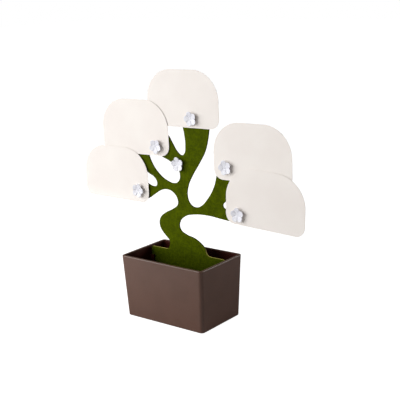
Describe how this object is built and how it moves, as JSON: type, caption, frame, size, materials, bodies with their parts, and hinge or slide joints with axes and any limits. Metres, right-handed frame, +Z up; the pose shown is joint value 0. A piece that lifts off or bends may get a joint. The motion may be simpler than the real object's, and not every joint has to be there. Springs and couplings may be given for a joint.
{
  "type": "desk tree note holder",
  "caption": "Flat steel bonsai standing in a tapered planter box, with dome-shaped note cards held on its branches by blossom magnets.",
  "frame": {"origin": "on the table under the middle of the planter box (the planter's underside is 1 mm above it, on its feet)", "axes": "+Z up, the tree's front faces -Y, +X to the right seen from the front"},
  "size_m": [0.2683, 0.0664, 0.2436],
  "materials": {
    "planter": "satin brown moulded plastic, near black in its shaded inside",
    "tree": "fine-textured moss green coating, paler olive on the cut edges",
    "note": "uncoated cream card",
    "blossom": "white plastic with a faint lilac tint",
    "magnet": "nickel-plated disc magnet",
    "foot": "matt black self-adhesive pad"
  },
  "bodies": {
    "planter": {"planter": "planter", "foot_front_left": "foot", "foot_front_right": "foot", "foot_rear_left": "foot", "foot_rear_right": "foot"},
    "tree": {"tree_plate": "tree"},
    "note_top": {"note_top": "note"},
    "note_upper_left": {"note_upper_left": "note"},
    "note_lower_left": {"note_lower_left": "note"},
    "note_upper_right": {"note_upper_right": "note"},
    "note_lower_right": {"note_lower_right": "note"},
    "blossom_top": {"blossom_top": "blossom", "magnet_top": "magnet"},
    "blossom_upper_left": {"blossom_upper_left": "blossom", "magnet_upper_left": "magnet"},
    "blossom_lower_left": {"blossom_lower_left": "blossom", "magnet_lower_left": "magnet"},
    "blossom_upper_right": {"blossom_upper_right": "blossom", "magnet_upper_right": "magnet"},
    "blossom_lower_right": {"blossom_lower_right": "blossom", "magnet_lower_right": "magnet"},
    "blossom_fork": {"blossom_fork": "blossom", "magnet_fork": "magnet"}
  },
  "joints": [
    {"name": "tree_lift", "type": "slide", "parent": "planter", "child": "tree", "axis": [0, 0, 1], "range_m": [0, 0.07]},
    {"name": "note_top_turn", "type": "hinge", "parent": "tree", "child": "note_top", "pos_m": [0.0129, 0.00852, 0.1975], "axis": [0, -1, 0], "range_deg": [-6, 12]},
    {"name": "note_upper_left_turn", "type": "hinge", "parent": "tree", "child": "note_upper_left", "pos_m": [-0.0315, 0.00788, 0.1675], "axis": [0, -1, 0], "range_deg": [-12, 12]},
    {"name": "note_lower_left_turn", "type": "hinge", "parent": "tree", "child": "note_lower_left", "pos_m": [-0.0568, 0.00722, 0.1205], "axis": [0, -1, 0], "range_deg": [-12, 12]},
    {"name": "note_upper_right_turn", "type": "hinge", "parent": "tree", "child": "note_upper_right", "pos_m": [0.0519, 0.00852, 0.1545], "axis": [0, -1, 0], "range_deg": [-12, 6]},
    {"name": "note_lower_right_turn", "type": "hinge", "parent": "tree", "child": "note_lower_right", "pos_m": [0.065, 0.00788, 0.111], "axis": [0, -1, 0], "range_deg": [-12, 6]},
    {"name": "blossom_top_pull", "type": "slide", "parent": "tree", "child": "blossom_top", "axis": [0, -1, 0], "range_m": [0, 0.015]},
    {"name": "blossom_upper_left_pull", "type": "slide", "parent": "tree", "child": "blossom_upper_left", "axis": [0, -1, 0], "range_m": [0, 0.015]},
    {"name": "blossom_lower_left_pull", "type": "slide", "parent": "tree", "child": "blossom_lower_left", "axis": [0, -1, 0], "range_m": [0, 0.015]},
    {"name": "blossom_upper_right_pull", "type": "slide", "parent": "tree", "child": "blossom_upper_right", "axis": [0, -1, 0], "range_m": [0, 0.015]},
    {"name": "blossom_lower_right_pull", "type": "slide", "parent": "tree", "child": "blossom_lower_right", "axis": [0, -1, 0], "range_m": [0, 0.015]},
    {"name": "blossom_fork_pull", "type": "slide", "parent": "tree", "child": "blossom_fork", "axis": [0, -1, 0], "range_m": [0, 0.015]}
  ]
}
